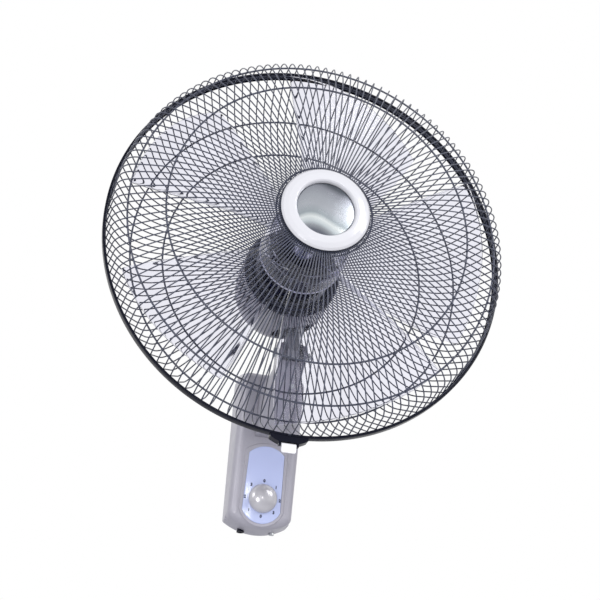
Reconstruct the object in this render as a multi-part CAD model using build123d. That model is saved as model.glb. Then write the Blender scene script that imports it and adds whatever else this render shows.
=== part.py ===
from build123d import *
from math import atan2, cos, degrees, hypot, pi, radians, sin, sqrt, tan
import os

os.makedirs("parts", exist_ok=True)

# Wall mounted fan. Millimetres. The wall is the plane Y = 0, the front looks along -Y, +Z is up.
# The origin is the centre of the wall bracket's screw pattern, on the wall.

# ---- head: everything round is about the fan axis, which runs along Y ----
HEAD_X = -16.5          # fan axis beside the neck, as the gearbox sets it
HEAD_Z = 150.0          # fan axis above the bracket's centre
BAND_Y = -262.0         # plane of the guard band
BAND_RADIUS = 214.9     # centre line of the clamped guard rings
BAND_OUT = 217.3        # outside of the channel that clamps them

# ---- guards ----
WIRE_COUNT = 136
WIRE_D = 1.4
RING_D = 2.0
WIRE_GAP = 0.02         # wires stand on their rings
RING_PLANE = 1.7        # end rings each side of the band plane
WIRE_END = 0.6
FRONT_FACE = 81.5       # flat middle of the front guard, ahead of the band
FRONT_DOME = (138.0, 81.5)
FRONT_RIM = (209.5, 38.5)
FRONT_DOME_RADIUS = 240.0
FRONT_RIM_RADIUS = 24.0
REAR_FACE = -62.0
REAR_RIM = (182.5, -59.5)
REAR_RIM_RADIUS = 50.0
FRONT_HUB_R = 42.0
REAR_HUB_R = 42.4
FRONT_RING_RADII = (160.4, 197.4)
REAR_RING_RADII = (48.0, 146.5, 183.2)
CLIP_X = HEAD_X - 3.9   # the band is closed a little beside its lowest point

# ---- rotor ----
BLADE_COUNT = 5
BLADE_TIP_R = 196.0
BLADE_HUB_R = 46.0
BLADE_THICK = 2.2
SHAFT_R = 4.0

# ---- motor ----
MOTOR_R = 46.0
MOTOR_FRONT = -62.8
MOTOR_BACK = -104.0
COVER_R = 54.0
COVER_FRONT = -66.5
COVER_BACK = -160.0

# ---- neck and tilt joint ----
PAN_D = -119.0          # the pan axis crosses this depth of the head
PAN_Y = BAND_Y - PAN_D
TILT_Z = 74.0
BLOCK_HALF = 8.0
BLOCK_TOP = 97.5
EAR_IN = 11.6
ARM_HALF = 16.5
EAR_R = 12.5
BOLT_R = 3.0
POST_R = 5.0

# ---- wall base ----
BASE_HALF = 38.0
BRACKET_X = 23.5        # wall screws, two each side
BRACKET_Z = 52.0
GLAND_X = -17.0
LOCK_X = 19.5
BASE_TOP = 95.0
BASE_CORNER = -87.0
BASE_BOTTOM = -98.8
SHELL_DEPTH = 16.0
WALL = 2.4
FRONT_SLOPE = 8.0       # the front leans forward at the top by this many degrees
KNOB_Z = -65.4
FRONT_AT_KNOB = -38.9   # Y of the front face at the knob's height
PANEL_UP = 61.1
PANEL_DOWN = 28.9
PANEL_TOP_HALF = 21.0
PANEL_LOW_HALF = 22.6
PANEL_HIP = -14.1       # the panel is widest here, below the knob
KNOB_R = 16.9
SHELL_CORNER = 3.0      # the rear shell keeps sharp corners behind the rounder cover
SHELL_TOP_CORNER = 13.0
COVER_CORNER = 9.6
FRONT_ROUND = 9.0
TOP_FALL = 19.0         # the cover's top falls towards the front by this many degrees
HOOKS = (-45.0, 70.0)
FOOT_SCREWS = [(x, z) for x in (-9.0, 9.0) for z in (-4.0, 56.0)]

AXIS = Axis((HEAD_X, BAND_Y, HEAD_Z), (0, 1, 0))
HEAD_PLANE = Plane(origin=(HEAD_X, BAND_Y, HEAD_Z), x_dir=(1, 0, 0), z_dir=(0, 0, 1))
slope = radians(FRONT_SLOPE)
PANEL_PLANE = Plane(
    origin=(0, FRONT_AT_KNOB, KNOB_Z), x_dir=(1, 0, 0), z_dir=(0, -cos(slope), -sin(slope)))

made = {}


def save(name, shape):
    """Write one node and keep its volume for the summary."""
    export_step(shape, f"parts/{name}.step")
    made[name] = shape


def turned(*points):
    """A solid of revolution about the fan axis from (radius, depth) corners, depth forward."""
    outline = Polyline(*[(r, -d) for r, d in points], close=True)
    face = HEAD_PLANE * make_face(outline)
    return revolve(face, AXIS, 360)


def tube(r_out, r_in, front, back):
    """A round tube about the fan axis between two depths."""
    return turned((r_in, front), (r_out, front), (r_out, back), (r_in, back))


def disc(r, front, back):
    return turned((0, front), (r, front), (r, back), (0, back))


def torus_at(radius, depth, thick):
    """A wire ring about the fan axis."""
    section = HEAD_PLANE * (Pos(radius, -depth) * Circle(thick / 2))
    return revolve(section, AXIS, 360)


def rod(start, end, radius):
    """A round bar between two points."""
    a, b = Vector(*start), Vector(*end)
    plane = Plane(origin=a, z_dir=(b - a))
    return plane * extrude(Circle(radius), (b - a).length)


def block(x0, x1, y0, y1, z0, z1):
    """A box by its limits."""
    size = (abs(x1 - x0), abs(y1 - y0), abs(z1 - z0))
    return Pos((x0 + x1) / 2, (y0 + y1) / 2, (z0 + z1) / 2) * Box(*size)


def about_axis(shape, angle):
    return shape.rotate(AXIS, angle)


def at(depth):
    """Y of a depth ahead of the band plane."""
    return BAND_Y - depth


# ---------------------------------------------------------------- guards
def wire_path(points, radii):
    return FilletPolyline(*[(r, -d) for r, d in points], radius=radii)


def wire_cage(points, radii, first=0, last=WIRE_COUNT):
    """Wires first to last of one guard, counted clockwise from the bottom: a bent round wire, repeated."""
    path = HEAD_PLANE * wire_path(points, radii)
    start = path.wire() @ 0
    heading = path.wire() % 0
    section = Plane(origin=start, z_dir=heading) * Circle(WIRE_D / 2)
    wire = sweep(section, path=path.wire())
    step = 360 / WIRE_COUNT
    return Compound(children=[about_axis(wire.solid(), 90 + step * i) for i in range(first, last)])


def line_between(p, q, r):
    """Depth on the straight line p-q at radius r."""
    return p[1] + (q[1] - p[1]) * (r - p[0]) / (q[0] - p[0])


stand_off = (WIRE_D + RING_D) / 2 + WIRE_GAP
side_r = BAND_RADIUS - stand_off
front_points = [(FRONT_HUB_R, FRONT_FACE), FRONT_DOME, FRONT_RIM, (side_r, WIRE_END)]
rear_points = [(REAR_HUB_R, REAR_FACE), REAR_RIM, (side_r, -WIRE_END)]


def front_ring_centre(r):
    """Centre of a ring laid behind the front wires at radius r on the wire."""
    run = hypot(FRONT_RIM[0] - FRONT_DOME[0], FRONT_RIM[1] - FRONT_DOME[1])
    fall = atan2(FRONT_DOME[1] - FRONT_RIM[1], FRONT_RIM[0] - FRONT_DOME[0])
    dome_start = FRONT_DOME[0] - FRONT_DOME_RADIUS * tan(fall / 2)
    dome_end = FRONT_DOME[0] + FRONT_DOME_RADIUS * tan(fall / 2) * cos(fall)
    if r < dome_start:
        angle, depth = 0.0, FRONT_FACE
    elif r < dome_end:
        angle = radians(degrees(atan2(r - dome_start, sqrt(FRONT_DOME_RADIUS**2 - (r - dome_start)**2))))
        depth = FRONT_FACE - FRONT_DOME_RADIUS * (1 - cos(angle))
    else:
        angle, depth = fall, line_between(FRONT_DOME, FRONT_RIM, r)
    return r - stand_off * sin(angle), depth - stand_off * cos(angle), run


def rear_ring_centre(r):
    """Centre of a ring of radius r laid inside the rear wires, on their straight run or their bend."""
    rise = atan2(REAR_RIM[1] - REAR_FACE, REAR_RIM[0] - REAR_HUB_R)
    turn = atan2(-WIRE_END - REAR_RIM[1], side_r - REAR_RIM[0]) - rise
    run = REAR_RIM_RADIUS * tan(turn / 2)
    bend_r = REAR_RIM[0] - run * cos(rise)
    if r < bend_r:
        return r, line_between((REAR_HUB_R, REAR_FACE), REAR_RIM, r) + stand_off / cos(rise)
    centre_r = bend_r - REAR_RIM_RADIUS * sin(rise)
    centre_d = REAR_RIM[1] - run * sin(rise) + REAR_RIM_RADIUS * cos(rise)
    return r, centre_d - sqrt((REAR_RIM_RADIUS - stand_off)**2 - (r - centre_r)**2)


def guards():
    bends = [FRONT_DOME_RADIUS, FRONT_RIM_RADIUS]
    half = WIRE_COUNT // 2
    save("front_guard_wires_left", wire_cage(front_points, bends, 0, half))
    save("front_guard_wires_right", wire_cage(front_points, bends, half, WIRE_COUNT))
    rings = [torus_at(BAND_RADIUS, RING_PLANE, RING_D)]
    rings += [torus_at(*front_ring_centre(r)[:2], RING_D) for r in FRONT_RING_RADII]
    rings.append(torus_at(50.5, FRONT_FACE - stand_off, RING_D))
    save("front_guard_rings", Compound(children=rings))

    save("rear_guard_wires", wire_cage(rear_points, [REAR_RIM_RADIUS]))
    rings = [torus_at(BAND_RADIUS, -RING_PLANE, RING_D)]
    rings += [torus_at(*rear_ring_centre(r), RING_D) for r in REAR_RING_RADII]
    save("rear_guard_rings", Compound(children=rings))

    plate_front = FRONT_FACE - WIRE_D / 2 - WIRE_GAP
    plate = tube(48.0, 9.0, plate_front, plate_front - 1.6)
    for i in range(6):
        window = Pos(HEAD_X + 28, at(plate_front - 0.8), HEAD_Z) * Box(14, 6, 12)
        plate -= about_axis(window, 60 * i)
    save("front_hub_plate", plate)

    plate = tube(42.0, 26.6, REAR_FACE + 0.8, REAR_FACE - 0.8)
    for i in range(3):
        hole = rod((HEAD_X + 34, at(-55), HEAD_Z), (HEAD_X + 34, at(-70), HEAD_Z), 2.6)
        plate -= about_axis(hole, 30 + 120 * i)
    save("rear_guard_plate", plate)

    # A channel ring clamps the two end rings; its lips hook over them from front and back.
    band = turned(
        (214.8, 4.6), (BAND_OUT, 4.6), (BAND_OUT, -4.8), (213.0, -4.8),
        (213.0, -3.3), (216.0, -3.3), (216.0, 3.2), (214.8, 3.2))
    gap = block(CLIP_X - 1.5, CLIP_X + 1.5, at(8), at(-8), HEAD_Z - 225, HEAD_Z - 205)
    save("guard_band", band - gap)

    # Nut that presses the rear guard's plate onto the motor front.
    nut = turned(
        (26.4, -61.2), (38.5, -61.2), (38.5, -50.0), (37.6, -38.0), (35.0, -28.0), (30.0, -24.0),
        (7.0, -24.0), (7.0, -26.4), (29.0, -26.4), (32.8, -29.8), (35.2, -39.0), (36.0, -50.0),
        (36.0, -56.0), (31.0, -56.0), (31.0, -44.0), (26.4, -44.0))
    for i in range(24):
        grip = Pos(HEAD_X + 39.1, at(-56), HEAD_Z) * Rot(90, 0, 0) * Cylinder(1.1, 8)
        nut -= about_axis(grip, 15 * i)
    save("guard_nut", nut)


def clip_parts():
    """Clamp that closes the band at the bottom, its screw, and the flip clip hung from its two lugs."""
    clamp_r = BAND_OUT + 0.4
    z_out = HEAD_Z - clamp_r
    offset, half = CLIP_X - HEAD_X, 19.5

    def band_z(x):
        return HEAD_Z - sqrt(clamp_r**2 - (x + offset)**2)

    lens = Plane(origin=(CLIP_X, at(5.0), 0), x_dir=(1, 0, 0), z_dir=(0, -1, 0))
    left, right = (-half, band_z(-half)), (half, band_z(half))
    low_left, low_right = (-half, left[1] - 3.2), (half, right[1] - 3.2)
    outline = ThreePointArc(left, (0, band_z(0)), right) + Line(right, low_right) \
        + ThreePointArc(low_right, (0, z_out - 8.3), low_left) + Line(low_left, left)
    clamp = lens * extrude(make_face(outline), -10.0)
    clamp = fillet(clamp.edges().filter_by(Axis.Y).sort_by(Axis.Z)[:2], 1.6)
    clamp -= block(CLIP_X - 8.0, CLIP_X + 8.0, at(8), at(-0.3), z_out - 20, z_out - 6.2)
    for side in (-1, 1):
        lug_in, lug_out = CLIP_X + side * 8.0, CLIP_X + side * 10.4
        clamp += block(lug_in, lug_out, at(4.4), at(0), z_out - 10.0, z_out - 3.0)
    screw_line = ((CLIP_X - 12, at(-2.6), z_out - 3.4), (CLIP_X + 12, at(-2.6), z_out - 3.4))
    pin_line = ((CLIP_X - 10.4, at(2.2), z_out - 8.2), (CLIP_X + 10.4, at(2.2), z_out - 8.2))
    clamp -= rod(*screw_line, 1.3)
    clamp -= rod(*pin_line, 0.81)
    save("band_clamp", clamp)
    save("clamp_screw", rod(*screw_line, 1.25))
    save("clip_pin", rod(*pin_line, 0.8))

    plate = block(CLIP_X - 7.5, CLIP_X + 7.5, at(5.8), at(4.2), z_out - 17.4, z_out - 8.6)
    barrel = rod((CLIP_X - 7.5, at(2.2), z_out - 8.2), (CLIP_X + 7.5, at(2.2), z_out - 8.2), 1.5)
    web = block(CLIP_X - 7.5, CLIP_X + 7.5, at(4.8), at(2.2), z_out - 9.6, z_out - 8.2)
    clip = plate + barrel + web
    clip = fillet(clip.edges().filter_by(Axis.Y).group_by(Axis.Z)[0], 2.0)
    save("guard_clip", clip - rod(*pin_line, 0.85))


def badge():
    ring = turned(
        (30.6, 83.0), (44.5, 83.0), (46.6, 84.2), (46.6, 85.4), (44.0, 87.8), (39.4, 89.6),
        (34.2, 90.2), (32.0, 89.4), (31.3, 87.6), (30.6, 86.0))
    save("badge_ring", ring)
    arch = turned((0, 83.0), (30.3, 83.0), (30.3, 85.6), (22.0, 86.6), (12.0, 87.3), (0, 87.6))
    save("badge_disc", arch)


# ---------------------------------------------------------------- rotor
def blade_section(radius, chord, pitch, lead):
    """A thin cambered section facing outward at one radius."""
    camber = 0.055 * chord
    half = chord / 2
    t = BLADE_THICK / 2
    outline = ThreePointArc((-half, 0), (0, camber + t), (half, 0)) \
        + Line((half, 0), (half - 0.6, -2 * t)) \
        + ThreePointArc((half - 0.6, -2 * t), (0, camber - t), (-half + 0.6, -2 * t)) \
        + Line((-half + 0.6, -2 * t), (-half, 0))
    plane = Plane(origin=(HEAD_X + radius, BAND_Y, HEAD_Z), x_dir=(0, 0, 1), z_dir=(1, 0, 0))
    return plane * (Pos(lead, 2.0) * Rot(0, 0, pitch) * make_face(outline))


def fan():
    sections = [
        blade_section(43.0, 60.0, 34.0, -2.0),
        blade_section(85.0, 104.0, 29.0, 0.0),
        blade_section(130.0, 146.0, 23.0, 6.0),
        blade_section(172.0, 178.0, 19.0, 12.0),
        blade_section(206.0, 196.0, 17.0, 18.0)]
    one = loft(sections)
    limits = tube(BLADE_TIP_R, BLADE_HUB_R - 1.6, 60, -60)
    one = (one & limits).solid()
    hub = turned(
        (46.5, -21.0), (46.5, 6.0), (44.0, 16.0), (38.0, 22.0), (30.0, 24.5), (11.0, 25.0),
        (11.0, 28.0), (4.04, 28.0), (4.04, -12.0), (10.5, -12.0), (10.5, 22.4), (29.0, 22.2),
        (36.6, 19.8), (41.6, 14.6), (44.0, 5.0), (44.0, -21.0))
    for i in range(BLADE_COUNT):
        hub += about_axis(one, 360 / BLADE_COUNT * i)
    for i in range(BLADE_COUNT):
        rib = Pos(HEAD_X + 27, at(8), HEAD_Z) * Box(34.5, 26, 1.8)
        hub += about_axis(rib, 360 / BLADE_COUNT * i + 36)
    slot = Pos(HEAD_X, at(-12), HEAD_Z) * Box(24, 6.4, 3.2)
    save("fan_blade", hub - slot)

    nut = turned(
        (4.06, 28.2), (13.0, 28.2), (13.0, 32.0), (11.5, 38.0), (7.0, 42.0), (0, 43.0),
        (0, 40.5), (4.06, 40.5))
    for i in range(10):
        grip = Pos(HEAD_X + 13.8, at(30), HEAD_Z) * Rot(90, 0, 0) * Cylinder(1.4, 12)
        nut -= about_axis(grip, 36 * i)
    save("blade_nut", nut)

    shaft = disc(SHAFT_R, 40.0, -131.0)
    pin_axis = ((HEAD_X - 11, at(-13.4), HEAD_Z), (HEAD_X + 11, at(-13.4), HEAD_Z))
    save("motor_shaft", shaft - rod(*pin_axis, 1.45))
    save("drive_pin", rod(*pin_axis, 1.45))

    core = tube(22.4, SHAFT_R, -77.0, -93.0)
    core += tube(21.0, 13.0, -73.5, -77.0)
    core += tube(21.0, 13.0, -93.0, -96.5)
    save("rotor_core", core)

    worm = tube(5.4, SHAFT_R, -112.0, -127.0)
    for i in range(6):
        worm -= tube(6.0, 4.8, -113.6 - 2.2 * i, -114.6 - 2.2 * i)
    save("worm", worm)


# ---------------------------------------------------------------- motor and gearbox
def bolt_bar(i, front, back, radius):
    """One of the three bars parallel to the axis on the bell's bolt circle."""
    angle = radians(90 + 120 * i)
    x, z = HEAD_X + 47.0 * cos(angle), HEAD_Z + 47.0 * sin(angle)
    return rod((x, at(front), z), (x, at(back), z), radius)


def lug(i, front, back):
    return bolt_bar(i, front, back, 3.8) - disc(43.9, front + 1, back - 1)


def motor():
    bell = turned(
        (9.2, -40.0), (26.2, -40.0), (26.2, MOTOR_FRONT), (MOTOR_R, MOTOR_FRONT), (MOTOR_R, -84.0),
        (43.9, -84.0), (43.9, -65.6), (13.0, -65.6), (13.0, -68.0), (9.2, -68.0))
    lugs = [lug(i, -76.0, -84.0) for i in range(3)]
    save("motor_front_bell", bell + lugs - [bolt_bar(i, -78.0, -90.0, 1.9) for i in range(3)])
    bell = turned(
        (9.2, -98.5), (13.0, -98.5), (13.0, -101.4), (43.9, -101.4), (43.9, -84.2),
        (MOTOR_R, -84.2), (MOTOR_R, MOTOR_BACK), (9.2, MOTOR_BACK))
    bell += [lug(i, -84.2, -90.0) for i in range(3)]
    bell -= [bolt_bar(i, -80.0, -92.0, 2.0) for i in range(3)]
    bell -= [bolt_bar(i, -90.0, -94.0, 3.6) for i in range(3)]
    for i in range(8):
        vent = Pos(HEAD_X + 32, at(-103), HEAD_Z) * Box(14, 8, 5)
        bell -= about_axis(vent, 22.5 + 45 * i)
    save("motor_rear_bell", bell)

    core = tube(43.7, 23.0, -77.0, -93.0)
    for i in range(16):
        slot = Pos(HEAD_X + 31, at(-85), HEAD_Z) * Box(10, 20, 4.2)
        core -= about_axis(slot, 22.5 * i)
    save("stator_core", core)
    coils = [tube(40.0, 26.5, -68.6, -76.8), tube(40.0, 26.5, -93.2, -98.0)]
    save("stator_windings", Compound(children=coils))
    save("front_bearing", tube(9.0, SHAFT_R + 0.05, -52.0, -66.0))
    save("rear_bearing", tube(9.0, SHAFT_R + 0.05, -98.6, -107.0))
    bolts = [bolt_bar(i, -78.2, -91.0, 1.88) + bolt_bar(i, -90.02, -92.4, 3.2) for i in range(3)]
    save("bell_bolts", Compound(children=[bolt.solid() for bolt in bolts]))


WHEEL_X = HEAD_X - 14.5
BOX_LEFT, BOX_RIGHT = HEAD_X - 27.0, 12.0
BOX_FRONT, BOX_BACK = at(MOTOR_BACK - 0.2), at(-140.0)
BOX_LOW, BOX_HIGH = 134.0, 166.0
COVER_SCREW_X = 3.5


def gearbox():
    y_front, y_back = BOX_FRONT, BOX_BACK
    body = block(BOX_LEFT, BOX_RIGHT, y_front, y_back, BOX_LOW, BOX_HIGH)
    body = fillet(body.edges().filter_by(Axis.Z), 3.0)
    body += Pos(0, PAN_Y, (99.0 + BOX_LOW + 2) / 2) * Cylinder(11.0, BOX_LOW + 2 - 99.0)
    rib = block(-2.5, 2.5, PAN_Y + 6, BOX_BACK - 1, 108.0, BOX_LOW + 1)
    body += rib
    body -= block(BOX_LEFT + 3, -3.0, y_front + 3.2, y_back - 3, BOX_LOW + 3, BOX_HIGH + 1)
    body -= rod((HEAD_X, y_front - 1, HEAD_Z), (HEAD_X, y_front + 4, HEAD_Z), 9.0)
    body -= rod((HEAD_X, y_back - 4, HEAD_Z), (HEAD_X, y_back - 1.5, HEAD_Z), 4.6)
    body -= Pos(0, PAN_Y, 114.5) * Cylinder(POST_R, 33.0)
    body -= Pos(WHEEL_X, PAN_Y, BOX_LOW + 2) * Cylinder(3.05, 8)
    lid_screws = [(BOX_LEFT + 1.7, PAN_Y), (BOX_RIGHT - 7.5, PAN_Y)]
    for x, y in lid_screws:
        body -= Pos(x, y, BOX_HIGH - 4) * Cylinder(1.0, 12)
    body -= rod((COVER_SCREW_X, BOX_BACK + 1, HEAD_Z), (COVER_SCREW_X, BOX_BACK - 8, HEAD_Z), 1.6)
    save("gearbox_body", body)

    lid = block(BOX_LEFT, BOX_RIGHT, y_front, y_back, BOX_HIGH + 0.05, BOX_HIGH + 3.0)
    lid = fillet(lid.edges().filter_by(Axis.Z), 3.0)
    lid -= Pos(WHEEL_X, PAN_Y, BOX_HIGH + 2) * Cylinder(3.05, 12)
    screws = []
    for x, y in lid_screws:
        lid -= Pos(x, y, BOX_HIGH + 2) * Cylinder(1.0, 10)
        screw = Pos(x, y, BOX_HIGH - 1.5) * Cylinder(0.98, 9.2) + Pos(x, y, BOX_HIGH + 3.8) * Cylinder(2.1, 1.5)
        screws.append(screw.solid())
    save("gearbox_lid", lid)
    save("gearbox_screws", Compound(children=screws))

    wheel = Pos(WHEEL_X, PAN_Y, HEAD_Z) * Cylinder(8.7, 7.0)
    for i in range(24):
        tooth_gap = Pos(WHEEL_X, PAN_Y, HEAD_Z) * Rot(0, 0, 15 * i) * Pos(8.9, 0, 0) * Box(1.6, 1.0, 9)
        wheel -= tooth_gap
    wheel -= Pos(WHEEL_X, PAN_Y, HEAD_Z) * Cylinder(3.05, 10)
    save("worm_wheel", wheel)
    save("clutch_shaft", Pos(WHEEL_X, PAN_Y, (133.0 + 206.0) / 2) * Cylinder(3.0, 73.0))

    post = Pos(0, PAN_Y, (83.4 + 131.0) / 2) * Cylinder(POST_R, 47.6)
    groove = Pos(0, PAN_Y, 88.0) * (Cylinder(POST_R + 2, 4.0) - Cylinder(3.6, 4.0))
    save("pivot_post", post - groove)


def head_cover():
    """Rear shell over motor and gearbox, with louvres, a neck opening and the clutch knob's well."""
    r_in = COVER_R - 2.2
    cover = turned(
        (r_in, COVER_FRONT), (COVER_R, COVER_FRONT), (COVER_R, -118.0), (52.6, -130.0), (48.6, -142.0),
        (41.5, -152.0), (31.0, -158.4), (20.0, COVER_BACK), (0, COVER_BACK), (0, COVER_BACK + 2.2),
        (19.6, COVER_BACK + 2.2), (30.0, -156.4), (40.0, -150.4), (46.8, -141.2), (50.5, -129.5),
        (r_in, -118.0))
    opening = Pos(0, PAN_Y, 105.0) * Cylinder(24.0, 40.0)
    cover -= opening
    for side in (-1, 1):
        for i in range(7):
            louvre = Pos(HEAD_X + side * 14.0, at(-156), HEAD_Z - 24 + 8 * i) * Box(18, 14, 3.0)
            cover -= louvre
    for i in range(9):
        for side in (0, 180):
            slot = Pos(HEAD_X + 53, at(-94), HEAD_Z) * Box(6, 34, 2.8)
            cover -= about_axis(slot, side - 36 + 9 * i)
    cover -= Pos(WHEEL_X, PAN_Y, 200.0) * Cylinder(5.2, 30.0)
    back_y = at(COVER_BACK)
    cover += rod((COVER_SCREW_X, back_y - 1.2, HEAD_Z), (COVER_SCREW_X, BOX_BACK + 0.05, HEAD_Z), 4.6)
    cover -= rod((COVER_SCREW_X, back_y + 1, HEAD_Z), (COVER_SCREW_X, BOX_BACK - 1, HEAD_Z), 1.75)
    cover -= rod((COVER_SCREW_X, back_y + 1, HEAD_Z), (COVER_SCREW_X, back_y - 7, HEAD_Z), 3.5)
    save("motor_cover", cover)
    screw = rod((COVER_SCREW_X, back_y - 5.1, HEAD_Z), (COVER_SCREW_X, back_y - 6.95, HEAD_Z), 3.2)
    screw += rod((COVER_SCREW_X, back_y - 6.0, HEAD_Z), (COVER_SCREW_X, BOX_BACK - 7, HEAD_Z), 1.58)
    save("cover_screw", screw)

    knob = Pos(WHEEL_X, PAN_Y, 218.0) * Cylinder(7.5, 12.0)
    knob = fillet(knob.edges().group_by(Axis.Z)[-1], 2.5)
    knob += Pos(WHEEL_X, PAN_Y, 207.5) * Cylinder(4.8, 11.0)
    for i in range(12):
        flute = Pos(WHEEL_X, PAN_Y, 217.0) * Rot(0, 0, 30 * i) * Pos(8.2, 0, 0) * Cylinder(1.3, 16)
        knob -= flute
    knob -= Pos(WHEEL_X, PAN_Y, 203.0) * Cylinder(3.3, 13.0)
    save("clutch_knob", knob)


# ---------------------------------------------------------------- tilt joint
def tilt_joint():
    hub = rod((-BLOCK_HALF, PAN_Y, TILT_Z), (BLOCK_HALF, PAN_Y, TILT_Z), EAR_R - 0.5)
    stem = block(-BLOCK_HALF, BLOCK_HALF, PAN_Y - 11.5, PAN_Y + 11.5, TILT_Z, BLOCK_TOP)
    stem = fillet(stem.edges().filter_by(Axis.Z), 4.0)
    body = hub + stem
    body -= rod((-20, PAN_Y, TILT_Z), (20, PAN_Y, TILT_Z), BOLT_R + 0.05)
    body -= Pos(0, PAN_Y, (BLOCK_TOP + 83.2) / 2) * Cylinder(7.0, BLOCK_TOP - 83.2)
    body -= rod((0, PAN_Y + 14, 88.0), (0, PAN_Y + 3, 88.0), 2.0)
    save("tilt_block", body)

    bush = Pos(0, PAN_Y, (BLOCK_TOP + 83.4) / 2) * Cylinder(7.0, BLOCK_TOP - 83.4)
    bush += Pos(0, PAN_Y, BLOCK_TOP + 0.6) * Cylinder(9.5, 1.2)
    bush -= Pos(0, PAN_Y, 91.0) * Cylinder(POST_R + 0.05, 20.0)
    bush -= rod((0, PAN_Y + 14, 88.0), (0, PAN_Y + 3, 88.0), 2.1)
    save("pivot_bush", bush)
    screw = rod((0, PAN_Y + 12.6, 88.0), (0, PAN_Y + 4.2, 88.0), 1.6)
    screw += rod((0, PAN_Y + 14.6, 88.0), (0, PAN_Y + 11.9, 88.0), 3.4)
    save("post_screw", screw)

    ear = ARM_HALF + 0.05
    bolt = rod((-ear - 4.0, PAN_Y, TILT_Z), (ear + 6.5, PAN_Y, TILT_Z), BOLT_R)
    head = Plane(origin=(-ear - 4.0, PAN_Y, TILT_Z), z_dir=(1, 0, 0)) * extrude(RegularPolygon(5.6, 6), 4.0)
    save("tilt_bolt", bolt + head)
    nut = Plane(origin=(ear, PAN_Y, TILT_Z), z_dir=(1, 0, 0)) * extrude(RegularPolygon(5.6, 6), 5.0)
    nut -= rod((0, PAN_Y, TILT_Z), (30, PAN_Y, TILT_Z), BOLT_R)
    save("tilt_nut", nut)

    washers = []
    for side in (-1, 1):
        x0, x1 = side * (BLOCK_HALF + 0.3), side * (EAR_IN - 0.05)
        ring = rod((x0, PAN_Y, TILT_Z), (x1, PAN_Y, TILT_Z), EAR_R + 0.8)
        ring -= rod((x0 - side, PAN_Y, TILT_Z), (x1 + side, PAN_Y, TILT_Z), BOLT_R + 0.2)
        for i in range(30):
            notch = Pos((x0 + x1) / 2, PAN_Y, TILT_Z) * Rot(12 * i, 0, 0) * Pos(0, 0, EAR_R + 1) * Box(5, 1.2, 1.6)
            ring -= notch
        washers.append(ring.solid())
    save("tilt_washers", Compound(children=washers))


# ---------------------------------------------------------------- wall base
def base_outline(inset, low_corner, top_corner):
    """Front view of the base: straight sides and an arched bottom, on the plane XZ."""
    half = BASE_HALF - inset
    top, low, bottom = BASE_TOP - inset, BASE_CORNER + inset * 0.6, BASE_BOTTOM + inset
    edges = Polyline((half, low), (half, top), (-half, top), (-half, low)) \
        + ThreePointArc((-half, low), (0, bottom), (half, low))
    face = make_face(edges)
    face = fillet(face.vertices().group_by(Axis.Y)[0], max(low_corner - inset, 0.8))
    if top_corner > 0:
        face = fillet(face.vertices().group_by(Axis.Y)[-1], max(top_corner - inset, 0.8))
    return Plane(origin=(0, 0, 0), x_dir=(1, 0, 0), z_dir=(0, -1, 0)) * face


def housing(inset, y_back):
    """Solid of the front cover from y_back to its sloping front, rounded all round the front."""
    solid = Pos(0, y_back, 0) * extrude(base_outline(inset, COVER_CORNER, 0), 90.0)
    cut = PANEL_PLANE.offset(-inset) * Pos(0, 0, 100) * Box(400, 600, 200)
    solid -= cut
    lean = Plane(origin=(0, y_back, BASE_TOP - inset), x_dir=(1, 0, 0),
                 z_dir=(0, -sin(radians(TOP_FALL)), cos(radians(TOP_FALL))))
    solid -= lean * Pos(0, 0, 50) * Box(400, 400, 100)
    shoulders = solid.edges().filter_by(lambda e: (e @ 0.5).Z > 60 and abs((e @ 0.5).X) > 30
                                        and abs((e % 0.5).Y) > 0.8)
    solid = fillet(shoulders, COVER_CORNER - inset)
    front = solid.faces().sort_by(Axis.Y)[0]
    return fillet(front.edges(), FRONT_ROUND - inset)


def panel_face(grow):
    """Outline of the control panel: arched top, rounded foot, a little wider below."""
    top, low = PANEL_UP + grow, -PANEL_DOWN - grow
    a, b = PANEL_TOP_HALF + grow, PANEL_LOW_HALF + grow
    hip = PANEL_HIP
    outline = Line((b, hip), (a, top - 9.0)) + ThreePointArc((a, top - 9.0), (0, top), (-a, top - 9.0)) \
        + Line((-a, top - 9.0), (-b, hip)) + ThreePointArc((-b, hip), (0, low), (b, hip))
    return make_face(outline)


def arm_profile(grow):
    """Side view of the neck arm, Y and Z, as a face on the plane X = 0."""
    g = grow
    outline = Polyline(
        (-5.02, 64.0 + g), (-5.02, -10.0), (-9.0, -10.0), (-9.0, 6.0 - g), (-64.0, 6.0 - g),
        (-137.0, 50.0 - g), (-150.0, 58.0), (-155.0, 66.0), (PAN_Y - 8, TILT_Z), (PAN_Y + 8, TILT_Z),
        (-128.0, 60.0 + g), (-100.0, 58.0 + g), (-30.0, 64.0 + g), close=True)
    return Plane(origin=(0, 0, 0), x_dir=(0, 1, 0), z_dir=(1, 0, 0)) * make_face(outline)


def is_lower_arm_edge(edge):
    middle = edge @ 0.5
    return abs((edge % 0.5).X) < 0.1 and middle.Z < 57 and middle.Y < -66


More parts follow.
